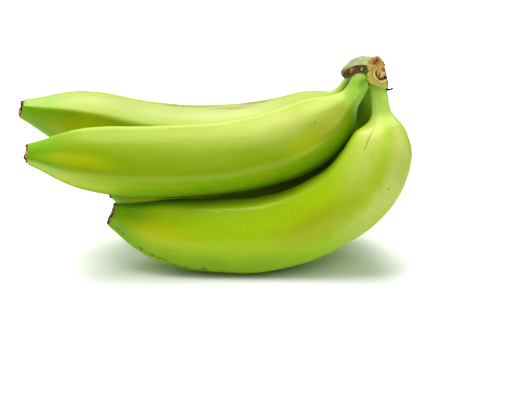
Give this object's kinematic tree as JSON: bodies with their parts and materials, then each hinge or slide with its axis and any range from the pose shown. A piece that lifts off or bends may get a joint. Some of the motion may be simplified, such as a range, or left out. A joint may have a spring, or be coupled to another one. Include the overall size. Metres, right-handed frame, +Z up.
{
  "type": "plantain",
  "caption": "Hand of curved green plantain fingers grown from one crown, lying on its lower fingers with dry blossom ends at one side.",
  "frame": {"origin": "On the surface the hand lies on, under the middle of its box.", "axes": "+X points along the fingers towards the crown, -X towards the blossom ends, -Y towards the front row of fingers, +Z up."},
  "size_m": [0.2587, 0.1011, 0.1385],
  "materials": {
    "peel": "smooth waxy green peel, satin",
    "dry_tissue": "rough dry brown tissue, matte"
  },
  "bodies": {
    "root": {"plantain_hand": "peel"}
  },
  "joints": []
}
